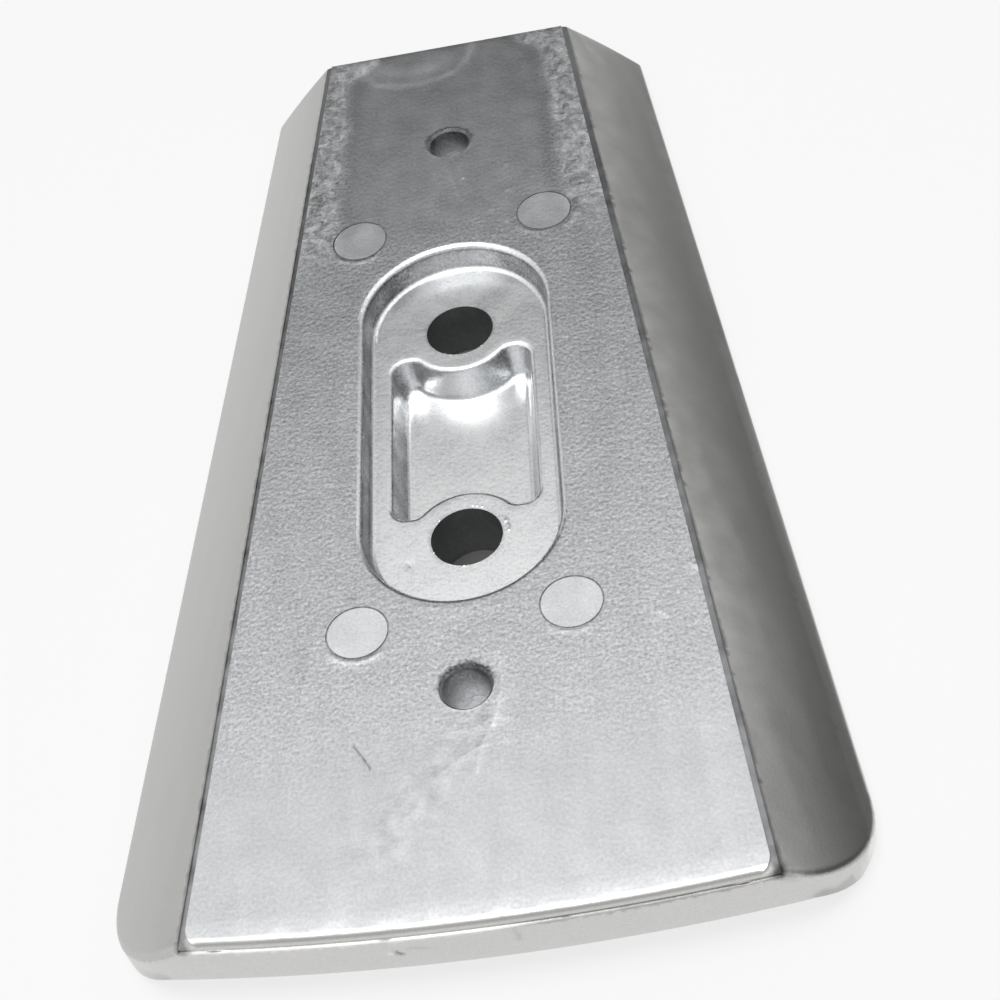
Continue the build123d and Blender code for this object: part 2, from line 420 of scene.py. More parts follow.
def wall_shade(places, normals):
    """Painted shade on the steep walls inside the bolt recess and its pocket, set by the way each wall
    faces, most on the left ones.
    """
    x, y, z = places.T
    along = np.maximum(np.abs(y) - BOLT_YS[0], 0)
    inside = np.hypot(x, along) < RECESS_REACH + RECESS_RIM + 0.05
    steep = 1 - ease(*WALL_STEEP, normals[:, 2])
    leaning = 1 - ease(*WALL_LEANING, normals[:, 2])
    to_right = ease(*WALL_FACES_RIGHT, normals[:, 0])
    in_recess = inside & (z > RECESS_FLOOR_Z) & (z < FACE_Z - 0.02)
    in_pocket = inside & (z < RECESS_FLOOR_Z) & (z > POCKET_FLOOR_Z)
    shade = np.zeros(len(places))
    for here, faces_left, (all_over, right, left) in (
        (in_recess, WALL_FACES_LEFT, RECESS_WALLS_DARKER),
        (in_pocket, POCKET_FACES_LEFT, POCKET_WALLS_DARKER),
    ):
        to_left = ease(*faces_left, -normals[:, 0])
        darker = all_over * steep + leaning * (right * to_right + left * to_left)
        shade -= np.where(here, darker, 0)
    return shade


def flank_shade(places, normals, half, foot):
    """Painted light and shade on the right flank: lighter under the groove and darker towards the foot."""
    x, y, _ = places.T
    down = (x - half) / (foot - half)
    at_top = FLANK_TOP_TONE + FLANK_TOP_LIGHTER * ease(*FLANK_TOP_LIGHTENS, y)
    change = at_top * (1 - down) - FLANK_FOOT_DARKER * down
    return np.where(down > 0.04, change * ease(0.35, 0.6, normals[:, 2]), 0)


def edge_shade(places, normals, half, low_y):
    """Painted shade and highlights on the side grooves, the wide end's edge, the outer rims and the small
    round edges.
    """
    x, y, z = places.T
    beside = 1 - ease(0.36, 0.62, np.abs(np.abs(x) - half))
    below = ease(0.03, 0.25, FACE_Z - z) * ease(-1.6, -0.9, z - FACE_Z)
    # Painted shade in the side grooves, fading towards the narrow end
    shade = GROOVE_TONE * ragged(places, RAGGED_GROOVES) * beside * below
    shade *= 1 - GROOVE_FADE_SHARE * ease(*GROOVE_FADES, y)
    # Painted light on the ledge under the wide end's edge at the left, turning to painted shade towards
    # the right
    near_ledge = (y < nose_edge(x, low_y) + 0.5) & (np.abs(z - NOSE_LEDGE_Z) < 0.04)
    ledge = LEDGE_TONE - LEDGE_DARKER * ease(*LEDGE_DARKENS, x)
    shade += np.where(near_ledge & (np.abs(x) < half - 0.5), ledge, 0)
    # Painted highlight on the outer rims that face right, from near the wide end to about the middle
    on_rim = (z < RIM_TOP_Z) & (z > STILL_Z) & (normals[:, 0] > 0)
    along = ease(low_y + 3, low_y + 12, y) * (1 - ease(-10, 20, y))
    shade += np.where(on_rim, RIM_TONE * ease(0.55, 0.85, normals[:, 0]) * along, 0)
    # Painted highlight on the near side of each blind hole's chamfer, and painted shade on its far side
    for hole_y in BLIND_HOLE_YS:
        around = np.hypot(x, y - hole_y)
        on_chamfer = (around < BLIND_HOLE_RADIUS + 0.5) & (z > FACE_Z - 0.5)
        chamfer = CHAMFER_TONE - CHAMFER_DARKER * ease(-0.6, 0.5, (y - hole_y) / around)
        shade += np.where(on_chamfer, chamfer, 0)
    # Painted shade in the ring round each ejector-pin mark
    for pin_x, pin_y in PIN_MARK_PLACES:
        around = np.hypot(x - pin_x, y - pin_y)
        in_ring = (around < PIN_MARK_RADIUS + 0.02) & (around > PIN_MARK_RADIUS - PIN_MARK_RING - 0.02)
        shade += np.where(in_ring & (z < FACE_Z - 0.08), PIN_RING_TONE, 0)
    return shade


# Mesh of the casting

def find_patches(bm, tag):
    """Tag each broad, nearly flat region of faces with its own number, and give their normals."""
    least = math.cos(PATCH_ANGLE)
    normals = {}
    seen = set()
    for start in bm.faces:
        if start in seen:
            continue
        seen.add(start)
        members = [start]
        for face in members:
            for edge in face.edges:
                for other in edge.link_faces:
                    if other not in seen and other.normal.dot(face.normal) > least:
                        seen.add(other)
                        members.append(other)
        if sum(face.calc_area() for face in members) < PATCH_LEAST_AREA:
            continue
        normal = sum((face.normal * face.calc_area() for face in members), Vector()).normalized()
        if min(face.normal.dot(normal) for face in members) < math.cos(PATCH_MOST_TURN):
            continue
        number = len(normals) + 1
        normals[number] = normal
        for face in members:
            face[tag] = number
    return normals


def cut_strips(bm, tag, axis, reach):
    """Cut the faces outside the patches into even lengths along one axis."""
    along = Vector((0, 0, 0))
    along[axis] = 1
    faces = []
    for face in bm.faces:
        places = [vert.co[axis] for vert in face.verts]
        if face[tag] == 0 and max(places) - min(places) > STRIP_STEP * MM:
            faces.append(face)
    edges = [edge for face in faces for edge in face.edges]
    verts = [vert for face in faces for vert in face.verts]
    geometry = list(dict.fromkeys(faces + edges + verts))
    count = math.ceil(2 * reach / STRIP_STEP)
    for index in range(1, count):
        place = along * (-reach + 2 * reach * index / count) * MM
        cut = bmesh.ops.bisect_plane(bm, geom=geometry, dist=2 * WELD, plane_co=place, plane_no=along)
        geometry = cut["geom"]


def split_patch_edges(bm, tag):
    """Split the long edges that lie between two patches."""
    for edge in list(bm.edges):
        sides = [face[tag] for face in edge.link_faces]
        if 0 in sides or sides[0] == sides[1]:
            continue
        low = max(vert.co.z for vert in edge.verts) < WELD
        pieces = math.ceil(edge.calc_length() / ((BACK_STEP if low else FINE_STEP) * MM))
        vert = edge.verts[0]
        for left in range(pieces, 1, -1):
            vert = bmesh.utils.edge_split(edge, vert, 1 / left)[1]


def inside_loops(points, starts, ends):
    """Which plane points lie inside closed loops that are given as edges."""
    inside = np.zeros(len(points), bool)
    for (ax, ay), (bx, by) in zip(starts, ends):
        if ay == by:
            continue
        crosses = (points[:, 1] < ay) != (points[:, 1] < by)
        meet = ax + (points[:, 1] - ay) * (bx - ax) / (by - ay)
        inside ^= crosses & (points[:, 0] < meet)
    return inside


def scattered_points(low, high, step, chance):
    """Plane points in offset rows, each moved a little."""
    row = step * math.sqrt(3) / 2
    rows = np.arange(low[1] + row, high[1], row)
    columns = np.arange(low[0] + step, high[0], step)
    x, y = np.meshgrid(columns, rows)
    x = x + (np.arange(len(rows)) % 2)[:, None] * step / 2
    shift = chance.uniform(-SCATTER, SCATTER, (2, *x.shape)) * step
    return np.stack([(x + shift[0]).ravel(), (y + shift[1]).ravel()], axis=1)


def clear_of(points, others, gap):
    """The plane points that lie further than a gap from all the others."""
    if len(points) == 0 or len(others) == 0:
        return points
    near = KDTree(len(others))
    for index, place in enumerate(others):
        near.insert((*place, 0), index)
    near.balance()
    return np.array([place for place in points if near.find((*place, 0))[2] > gap])


def refill_patch(bm, tag, number, normal, surface, chance):
    """Give one patch an even mesh of small triangles inside its border, finer along the marks."""
    faces = [face for face in bm.faces if face[tag] == number]
    border = [e for face in faces for e in face.edges if any(f[tag] != number for f in e.link_faces)]
    verts = list(dict.fromkeys(vert for edge in border for vert in edge.verts))
    order = {vert: index for index, vert in enumerate(verts)}
    across = normal.orthogonal().normalized()
    turn = Matrix((across, normal.cross(across), normal))
    flat = np.array([(turn @ vert.co)[:2] for vert in verts])
    height = max((turn @ vert.co).z for vert in verts)
    links = [(order[edge.verts[0]], order[edge.verts[1]]) for edge in border]
    ends = np.array(links)
    starts, stops = flat[ends[:, 0]], flat[ends[:, 1]]
    step = (BACK_STEP if normal.z < DOWNWARD else FINE_STEP) * MM
    along_marks = np.array([turn @ (Vector(place) * MM) for place in mark_points()])
    along_marks = along_marks[abs(along_marks[:, 2] - height) < MARK_REACH * MM][:, :2]
    along_marks = along_marks[inside_loops(along_marks, starts, stops)]
    points = scattered_points(flat.min(0), flat.max(0), step, chance)
    points = points[inside_loops(points, starts, stops)]
    clear = clear_of(along_marks, flat, MARK_STEP * MM / 2)
    points = clear_of(points, flat, CLEAR_OF_BORDER * step)
    points = clear_of(points, clear, CLEAR_OF_MARKS * step)
    points = list(clear) + list(points)
    bmesh.ops.delete(bm, geom=faces, context="FACES")
    back = turn.transposed()
    grown = list(verts)
    for x, y in points:
        above = back @ Vector((x, y, height + PATCH_LIFT))
        place = surface.ray_cast(above, -normal)[0]
        grown.append(bm.verts.new(place if place else back @ Vector((x, y, height))))
    coords = [Vector(place) for place in flat] + [Vector(place) for place in points]
    found = delaunay_2d_cdt(coords, links, [], 0, 1e-9)
    for tri in inner_triangles(found, links, starts, stops):
        face = bm.faces.new([grown[i] for i in tri])
        face[tag] = number


def inner_triangles(found, links, starts, stops):
    """Triangles inside the border: those that meet across no border edge share one answer."""
    source = [origins[0] for origins in found[3]]
    walls = {frozenset(link) for link in links}
    triangles = [[source[i] for i in tri] for tri in found[2]]
    sharing = {}
    for index, tri in enumerate(triangles):
        for side in range(3):
            pair = frozenset((tri[side], tri[side - 1]))
            if pair not in walls:
                sharing.setdefault(pair, []).append(index)
    places = np.array([[found[0][i][:] for i in tri] for tri in found[2]])
    edge_a, edge_b = places[:, 1] - places[:, 0], places[:, 2] - places[:, 0]
    areas = abs(edge_a[:, 0] * edge_b[:, 1] - edge_a[:, 1] * edge_b[:, 0])
    centre_inside = inside_loops(places.mean(axis=1), starts, stops)
    around = [[] for _ in triangles]
    for pair in sharing.values():
        if len(pair) == 2:
            around[pair[0]].append(pair[1])
            around[pair[1]].append(pair[0])
    kept = []
    seen = set()
    for start in range(len(triangles)):
        if start in seen:
            continue
        seen.add(start)
        members = [start]
        for index in members:
            for other in around[index]:
                if other not in seen:
                    seen.add(other)
                    members.append(other)
        if centre_inside[max(members, key=lambda index: areas[index])]:
            kept.extend(triangles[index] for index in members)
    return kept


def casting_mesh(node):
    """Even fine mesh of the casting, made from the node's own triangles."""
    bm = bmesh.new()
    bm.from_mesh(node.data)
    bmesh.ops.remove_doubles(bm, verts=bm.verts, dist=WELD)
    bm.normal_update()
    surface = BVHTree.FromBMesh(bm)
    tag = bm.faces.layers.int.new("patch")
    normals = find_patches(bm, tag)
    low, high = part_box(node.name)
    cut_strips(bm, tag, 1, high.y / MM + 1)
    cut_strips(bm, tag, 0, high.x / MM + 1)
    split_patch_edges(bm, tag)
    strips = [face for face in bm.faces if face[tag] == 0 and len(face.verts) > 3]
    bmesh.ops.triangulate(bm, faces=strips, quad_method="SHORT_EDGE")
    chance = np.random.default_rng(7)
    for number, normal in normals.items():
        refill_patch(bm, tag, number, normal, surface, chance)
    bm.normal_update()
    return bm


def round_nose_edge(bm, low_y, high_y):
    """Bring the rounded edge over the wide end onto its true arc, and note the arc's normals."""
    noted = bm.verts.layers.float_vector.new("arc_normal")
    for vert in bm.verts:
        x, y, z = vert.co / MM
        across = NOSE_ROUND_BACK - (y - nose_edge(x, low_y))
        up = z - NOSE_LEDGE_Z
        reach = math.hypot(across, up)
        half = between_ends(y, low_y, high_y, FACE_HALF_WIDE, FACE_HALF_NARROW)
        if abs(x) > half - FACE_CORNER_REACH or abs(reach - NOSE_ROUND) > NOSE_ROUND_SLACK:
            continue
        if across < -0.02 or up < -0.01:
            continue
        vert.co.y += across * (1 - NOSE_ROUND / reach) * MM
        vert.co.z = (NOSE_LEDGE_Z + up * NOSE_ROUND / reach) * MM
        aside = x / NOSE_ARC_RADIUS
        outward = Vector((aside, -math.sqrt(1 - aside**2), 0))
        vert[noted] = (outward * across + Vector((0, 0, up))).normalized()


def soften_corners(bm, low_y, high_y):
    """Mark where the flanks turn into the wide end at its two outer corners, which is a soft edge."""
    soft = bm.verts.layers.int.new("soft")
    for edge in bm.edges:
        x, y, z = (edge.verts[0].co + edge.verts[1].co) / (2 * MM)
        half = between_ends(y, low_y, high_y, FACE_HALF_WIDE, FACE_HALF_NARROW)
        at_corner = abs(x) > half + 0.8 and y < low_y + OUTER_CORNER_REACH and z > 1.5
        if at_corner and edge.calc_face_angle(0) > SHARP_ANGLE:
            for vert in edge.verts:
                vert[soft] = 1
    for face in bm.faces:
        face.smooth = True
    for edge in bm.edges:
        edge.smooth = edge.calc_face_angle(0) < SHARP_ANGLE or all(vert[soft] for vert in edge.verts)


def read_values(mesh, name, kind, size=1):
    """Values that the mesh keeps under a name, one row a point or face."""
    data = mesh.attributes[name].data
    values = np.empty(len(data) * size, kind)
    data.foreach_get("value" if size == 1 else "vector", values)
    return values if size == 1 else values.reshape(-1, size)


def settle_normals(mesh):
    """Give borders the normals of the broad faces they bound, so shading doesn't bleed across."""
    count = len(mesh.polygons)
    soft = read_values(mesh, "soft", int)
    patch = read_values(mesh, "patch", int)
    noted = read_values(mesh, "arc_normal", float, 3)
    area, vertex = np.empty(count), np.empty(3 * count, int)
    mesh.polygons.foreach_get("area", area)
    mesh.loops.foreach_get("vertex_index", vertex)
    facing, settled = np.empty(3 * count), np.empty(9 * count)
    mesh.polygon_normals.foreach_get("vector", facing)
    mesh.corner_normals.foreach_get("vector", settled)
    facing, settled = facing.reshape(-1, 3), settled.reshape(-1, 3)
    face = np.repeat(np.arange(count), 3)
    least = math.cos(SHARP_ANGLE)

    # One summed normal for each pair of a point and a broad face
    broad = np.flatnonzero((patch[face] > 0) & (soft[vertex] == 0))
    numbers = patch.max() + 1
    shared, member = np.unique(vertex[broad] * numbers + patch[face[broad]], return_inverse=True)
    summed = np.zeros((len(shared), 3))
    np.add.at(summed, member, (facing * area[:, None])[face[broad]])
    summed /= np.linalg.norm(summed, axis=1)[:, None]

    # Broad faces that meet in less than a sharp angle share theirs
    at_vertex = {}
    for index, pair in enumerate(shared):
        at_vertex.setdefault(pair // numbers, []).append(index)
    merged = summed.copy()
    for group in at_vertex.values():
        for index in group:
            merged[index] = sum(summed[other] for other in group if summed[other] @ summed[index] > least)
    merged /= np.linalg.norm(merged, axis=1)[:, None]
    settled[broad] = merged[member]

    # Narrow faces take the arc's normals, or those of the broad face beside them
    narrow = patch[face] == 0
    noted = noted[vertex]
    on_arc = narrow & ((noted * facing[face]).sum(axis=1) > least)
    settled[on_arc] = noted[on_arc]
    for corner in np.flatnonzero(narrow):
        for index in at_vertex.get(vertex[corner], ()):
            if merged[index] @ facing[face[corner]] > least:
                settled[corner] = merged[index]
    mesh.normals_split_custom_set(settled.tolist())
    for name in ("patch", "soft", "arc_normal"):
        mesh.attributes.remove(mesh.attributes[name])


# Torn specks of metal: place and size in millimetres, beside the near bolt hole and then in the
# near blind hole
BURRS = (
    (4.55, -15.75, 8.22, 0.24), (4.95, -16.40, 8.22, 0.30), (5.20, -17.10, 8.20, 0.26),
    (4.80, -17.40, 8.22, 0.21), (5.15, -17.90, 8.20, 0.24), (1.40, -13.30, 8.22, 0.24),
    (2.05, -13.62, 8.22, 0.27), (2.70, -14.10, 8.20, 0.21), (0.90, -13.20, 8.22, 0.17),
    (-3.45, -14.80, 8.22, 0.20), (-3.80, -15.20, 8.20, 0.16), (3.90, -15.20, 8.20, 0.16),
    (-1.30, -44.50, 6.60, 0.95), (-0.30, -45.20, 6.50, 0.80), (-1.60, -43.40, 6.30, 0.60),
)

# Fine specks round the bolt holes' rims: the hole, the first and last angle, and how many
RIM_BURRS = ((-18.0, 195, 345, 19), (18.0, 215, 330, 13))
RIM_BURR_SIZES = (0.06, 0.15)
RIM_BURR_SHIFT = 3
BURR_FINISH = "pin_disc_skin"


def add_burrs(bm):
    """Add the torn specks as small closed lumps that bite into the casting."""
    chance = np.random.default_rng(11)
    places = list(BURRS)
    for bolt_y, start, stop, count in RIM_BURRS:
        shift = chance.uniform(-RIM_BURR_SHIFT, RIM_BURR_SHIFT, count)
        for angle in np.radians(np.linspace(start, stop, count) + shift):
            reach = BOLT_HOLE_RADIUS + 0.03
            x, y = reach * math.cos(angle), bolt_y + reach * math.sin(angle)
            places.append((x, y, RECESS_FLOOR_Z, chance.uniform(*RIM_BURR_SIZES)))
    for *place, size in places:
        centre = Vector(place) * MM
        turn = Matrix.Rotation(chance.uniform(0, math.pi), 4, "Z")
        squash = Matrix.Diagonal((*chance.uniform(0.7, 1.0, 2), chance.uniform(0.35, 0.55), 1))
        stand = Matrix.Translation(centre) @ turn @ squash
        made = bmesh.ops.create_icosphere(bm, subdivisions=1, radius=size * MM, matrix=stand)
        for vert in made["verts"]:
            vert.co += (vert.co - centre) * chance.uniform(-0.3, 0.35)


# Finish of the alloy

PEBBLE_SHARE = 0.55
MOTTLE_MIDDLE = 0.53
MOTTLE_STRENGTH = 2.2


def node_group(name, inputs, outputs):
    """Empty shader group with its sockets; returns the group, its nodes, its links and both ends."""
    group = bpy.data.node_groups.new(name, "ShaderNodeTree")
    for label, value in inputs.items():
        socket = group.interface.new_socket(label, in_out="INPUT", socket_type="NodeSocketFloat")
        socket.default_value = value
    for label in outputs:
        group.interface.new_socket(label, in_out="OUTPUT", socket_type="NodeSocketFloat")
    nodes = group.nodes
    return group, nodes, group.links, nodes.new("NodeGroupInput"), nodes.new("NodeGroupOutput")


def maths(nodes, links, operation, first, second=None):
    """One maths node on sockets or numbers."""
    node = nodes.new("ShaderNodeMath")
    node.operation = operation
    for socket, value in zip(node.inputs, (first, second)):
        if isinstance(value, bpy.types.NodeSocket):
            links.new(value, socket)
        elif value is not None:
            socket.default_value = value
    return node.outputs[0]


def remap(nodes, links, value, span, result):
    """A value's span mapped onto another range, and held at both ends."""
    node = nodes.new("ShaderNodeMapRange")
    node.inputs["From Min"].default_value, node.inputs["From Max"].default_value = span
    node.inputs["To Min"].default_value, node.inputs["To Max"].default_value = result
    links.new(value, node.inputs["Value"])
    return node.outputs["Result"]


def field(nodes, name):
    """Value of one of the casting's own fields at the shaded point."""
    attribute = nodes.new("ShaderNodeAttribute")
    attribute.attribute_name = name
    return attribute.outputs["Fac"]


def casting_grain():
    """Fine pebbled skin that the die leaves, with a broader unevenness under it."""
    inputs = {"Grain Scale": 2400.0, "Wave Scale": 240.0, "Coarse": 1.0}
    outputs = ("Grain", "Speckle", "Wave")
    group, nodes, links, start, end = node_group("casting_grain", inputs, outputs)
    place = nodes.new("ShaderNodeTexCoord").outputs["Object"]
    grain = nodes.new("ShaderNodeTexNoise")
    grain.inputs["Detail"].default_value = 3.0
    grain.inputs["Roughness"].default_value = 0.6
    links.new(place, grain.inputs["Vector"])
    links.new(start.outputs["Grain Scale"], grain.inputs["Scale"])
    pebble = nodes.new("ShaderNodeTexVoronoi")
    pebble.feature = "SMOOTH_F1"
    pebble.inputs["Smoothness"].default_value = 0.6
    links.new(place, pebble.inputs["Vector"])
    pebble_scale = maths(nodes, links, "MULTIPLY", start.outputs["Grain Scale"], PEBBLE_SHARE)
    links.new(pebble_scale, pebble.inputs["Scale"])
    rounded = maths(nodes, links, "SUBTRACT", 1.0, pebble.outputs["Distance"])
    height = maths(nodes, links, "ADD", grain.outputs["Fac"], rounded)
    links.new(maths(nodes, links, "MULTIPLY", height, start.outputs["Coarse"]), end.inputs["Grain"])
    centred = maths(nodes, links, "SUBTRACT", grain.outputs["Fac"], 0.5)
    links.new(maths(nodes, links, "MULTIPLY", centred, start.outputs["Coarse"]), end.inputs["Speckle"])
    wave = nodes.new("ShaderNodeTexNoise")
    wave.inputs["Detail"].default_value = 2.0
    links.new(place, wave.inputs["Vector"])
    links.new(start.outputs["Wave Scale"], wave.inputs["Scale"])
    links.new(wave.outputs["Fac"], end.inputs["Wave"])
    return group


def frosted_whorls():
    """Curling light and dark mottle where the metal froze last against the die."""
    inputs = {"Whorl Scale": 780.0, "Amount": 1.0}
    group, nodes, links, start, end = node_group("frosted_whorls", inputs, ("Mottle",))
    place = nodes.new("ShaderNodeTexCoord").outputs["Object"]
    curl = nodes.new("ShaderNodeTexNoise")
    curl.inputs["Detail"].default_value = 3.0
    curl.inputs["Roughness"].default_value = 0.55
    curl.inputs["Distortion"].default_value = 0.7
    links.new(place, curl.inputs["Vector"])
    links.new(start.outputs["Whorl Scale"], curl.inputs["Scale"])
    centred = maths(nodes, links, "SUBTRACT", curl.outputs["Fac"], MOTTLE_MIDDLE)
    mottle = maths(nodes, links, "MULTIPLY", centred, MOTTLE_STRENGTH)
    links.new(maths(nodes, links, "MULTIPLY", mottle, start.outputs["Amount"]), end.inputs["Mottle"])
    return group


COOL, WARM = (0.985, 1.0, 1.015), (1.01, 1.005, 0.985)

# Tone, gloss and grain of each region; grain is lumps a metre, depth is millimetres, and cloud is
# how far tone and gloss drift from place to place. The coarse field scales the grain where it is set
FINISHES = {
    "face_skin": {
        "tone": 0.62, "tint": COOL, "rough": 0.37, "cloud": 0.5,
        "grain": 2500.0, "depth": 0.026, "speckle": 1.50, "coarse_field": True,
    },
    "flank_skin": {
        "tone": 0.51, "tint": WARM, "rough": 0.33, "cloud": 0.2,
        "grain": 4200.0, "depth": 0.006, "speckle": 0.20,
    },
    "nose_skin": {
        "tone": 0.61, "tint": WARM, "rough": 0.32, "cloud": 0.2,
        "grain": 3800.0, "depth": 0.006, "speckle": 0.30,
    },
    "recess_skin": {
        "tone": 0.97, "tint": COOL, "rough": 0.31, "cloud": 0.8,
        "grain": 3000.0, "depth": 0.010, "speckle": 0.80,
    },
    "pin_disc_skin": {
        "tone": 0.81, "tint": COOL, "rough": 0.38, "cloud": 0.8,
        "grain": 3400.0, "depth": 0.006, "speckle": 0.50,
    },
    "bore_skin": {
        "tone": 0.38, "tint": COOL, "rough": 0.50, "cloud": 1.0,
        "grain": 2600.0, "depth": 0.030, "speckle": 0.50,
    },
    "blind_hole_skin": {
        "tone": 0.66, "tint": COOL, "rough": 0.42, "cloud": 1.0,
        "grain": 2600.0, "depth": 0.030, "speckle": 0.60,
    },
    "back_skin": {
        "tone": 0.62, "tint": COOL, "rough": 0.42, "cloud": 1.0,
        "grain": 2300.0, "depth": 0.024, "speckle": 0.50,
    },
}

# Drift of tone and gloss with the broad waves: the waves' span, and how far each end drifts
TONE_SPAN = (0.35, 0.65)
TONE_DRIFT = (-0.05, 0.04)
GLOSS_SPAN = (0.3, 0.7)
GLOSS_DRIFT = (-0.03, 0.04)
MARK_BY_WAVE = (1.2, 0.4)
LEAST_SHADE = 0.14
FROST_ROUGHNESS = 0.10


def alloy_material(name, finish, grain_group, whorl_group):
    """Cast alloy with one region's own tone, gloss and grain."""
    material = bpy.data.materials.new(name)
    material.use_nodes = True
    nodes, links = material.node_tree.nodes, material.node_tree.links
    shader = nodes["Principled BSDF"]
    shader.inputs["Metallic"].default_value = 1.0
    grain = nodes.new("ShaderNodeGroup")
    grain.node_tree = grain_group
    grain.inputs["Grain Scale"].default_value = finish["grain"]
    if finish.get("coarse_field"):
        links.new(field(nodes, "coarse"), grain.inputs["Coarse"])
    whorls = nodes.new("ShaderNodeGroup")
    whorls.node_tree = whorl_group
    frost = field(nodes, "frost")
    links.new(frost, whorls.inputs["Amount"])
    bump = nodes.new("ShaderNodeBump")
    bump.inputs["Distance"].default_value = finish["depth"] * MM
    links.new(grain.outputs["Grain"], bump.inputs["Height"])
    links.new(bump.outputs["Normal"], shader.inputs["Normal"])

    # Tone: the broad drift, the marks with their painted shade and highlights, the speckle and the frost's
    # mottle
    wave = grain.outputs["Wave"]
    drift = [1.0 + share * finish["cloud"] for share in TONE_DRIFT]
    shade = remap(nodes, links, wave, TONE_SPAN, drift)
    by_wave = maths(nodes, links, "MULTIPLY", wave, MARK_BY_WAVE[0])
    by_wave = maths(nodes, links, "ADD", by_wave, MARK_BY_WAVE[1])
    marks_and_painted_shade = maths(nodes, links, "MULTIPLY", field(nodes, "marks_and_painted_shade"), by_wave)
    shade = maths(nodes, links, "ADD", shade, marks_and_painted_shade)
    speckle = maths(nodes, links, "MULTIPLY", grain.outputs["Speckle"], finish["speckle"])
    shade = maths(nodes, links, "ADD", shade, speckle)
    shade = maths(nodes, links, "ADD", shade, whorls.outputs["Mottle"])
    shade = maths(nodes, links, "MAXIMUM", shade, LEAST_SHADE)
    colour = nodes.new("ShaderNodeCombineColor")
    for channel, tint in zip(("Red", "Green", "Blue"), finish["tint"]):
        links.new(maths(nodes, links, "MULTIPLY", shade, finish["tone"] * tint), colour.inputs[channel])
    links.new(colour.outputs["Color"], shader.inputs["Base Color"])

    # Gloss: the broad drift, and duller where frosted
    drift = [finish["rough"] + share * finish["cloud"] for share in GLOSS_DRIFT]
    rough = remap(nodes, links, wave, GLOSS_SPAN, drift)
    duller = maths(nodes, links, "MULTIPLY", frost, FROST_ROUGHNESS)
    links.new(maths(nodes, links, "ADD", rough, duller), shader.inputs["Roughness"])
    return material


# Borders between the finishes: slack round a hole, the raised face's height, how deep the wide end's
# edge is, and how far outside the face's edge the groove and the flank begin
INSIDE = 0.02
TOP = FACE_Z - 0.005
NOSE_EDGE_DEPTH = 1.6
GROOVE_REACH = 0.5
FLANK_START = 0.30


def finish_at(place, normal, low, high):
    """Name of the finish on the casting at a place, in millimetres."""
    x, y, z = place
    half = between_ends(y, low, high, FACE_HALF_WIDE, FACE_HALF_NARROW)
    if normal.z < DOWNWARD:
        return "back_skin"
    for bolt_y in BOLT_YS:
        if math.hypot(x, y - bolt_y) < BOLT_HOLE_RADIUS + INSIDE:
            return "bore_skin"
    for hole_y in BLIND_HOLE_YS:
        if math.hypot(x, y - hole_y) < BLIND_HOLE_RADIUS + INSIDE and z < FACE_Z - 0.3:
            return "blind_hole_skin"
    along = max(abs(y) - BOLT_YS[0], 0)
    if math.hypot(x, along) < RECESS_REACH + RECESS_RIM - 0.05 and z < FACE_Z - INSIDE:
        return "recess_skin"
    if z > TOP:
        for pin_x, pin_y in PIN_MARK_PLACES:
            if math.hypot(x - pin_x, y - pin_y) < PIN_MARK_RADIUS - PIN_MARK_RING:
                return "pin_disc_skin"
    if y < nose_edge(x, low) + NOSE_EDGE_DEPTH and z < TOP and abs(x) < half + GROOVE_REACH:
        return "nose_skin"
    if normal.z < 0.3:
        return "nose_skin"
    if abs(x) > half + FLANK_START:
        return "flank_skin"
    return "face_skin"


def dress(mesh, finishes):
    """Give every face of the casting its own region's finish."""
    grain_group, whorl_group = casting_grain(), frosted_whorls()
    order = {}
    for name, finish in FINISHES.items():
        order[name] = len(order)
        mesh.materials.append(alloy_material(name, finish, grain_group, whorl_group))
    mesh.polygons.foreach_set("material_index", [order[name] for name in finishes])


# Floor, lights and camera, in metres

AIR_LIGHT = 0.5
FLOOR_GLOW_SHARE = 0.72
FLOOR_TONE = 0.85
FLOOR_REACH = 3.0
FLOOR_Z = -0.0001
# Dark sheet under the casting: painted shade that stands for the shade seen down the bolt holes
UNDERLAY_TONE = 0.14
UNDERLAY_REACH = (0.012, 0.032)
UNDERLAY_Z = -0.00005
PAPER_ROUGHNESS = 0.9


def seen_factor(nodes, links):
    """One where a camera, mirror or glass ray looks, and nought where light is gathered."""
    path = nodes.new("ShaderNodeLightPath")
    seen = maths(nodes, links, "MAXIMUM", path.outputs["Is Camera Ray"], path.outputs["Is Glossy Ray"])
    return maths(nodes, links, "MAXIMUM", seen, path.outputs["Is Transmission Ray"])


def studio_air():
    """White all round where it is looked at, and an even soft light."""
    world = bpy.data.worlds.new("studio_air")
    bpy.context.scene.world = world
    world.use_nodes = True
    nodes, links = world.node_tree.nodes, world.node_tree.links
    air = nodes["Background"]
    air.inputs["Color"].default_value = (1, 1, 1, 1)
    strength = remap(nodes, links, seen_factor(nodes, links), (0.0, 1.0), (AIR_LIGHT, 1.0))
    links.new(strength, air.inputs["Strength"])


def board(name, corners, material):
    """Flat four-cornered sheet that isn't part of the casting, with a map from edge to edge."""
    mesh = bpy.data.meshes.new(name)
    mesh.from_pydata(corners, [], [(0, 1, 2, 3)])
    across = mesh.uv_layers.new(name="across")
    for loop, place in zip(across.data, ((0, 0), (1, 0), (1, 1), (0, 1))):
        loop.uv = place
    mesh.materials.append(material)
    sheet = bpy.data.objects.new(name, mesh)
    bpy.context.scene.collection.objects.link(sheet)
    return sheet


def level_corners(reach_x, reach_y, z):
    """Corners of a level sheet about the origin."""
    return [(-reach_x, -reach_y, z), (reach_x, -reach_y, z), (reach_x, reach_y, z), (-reach_x, reach_y, z)]


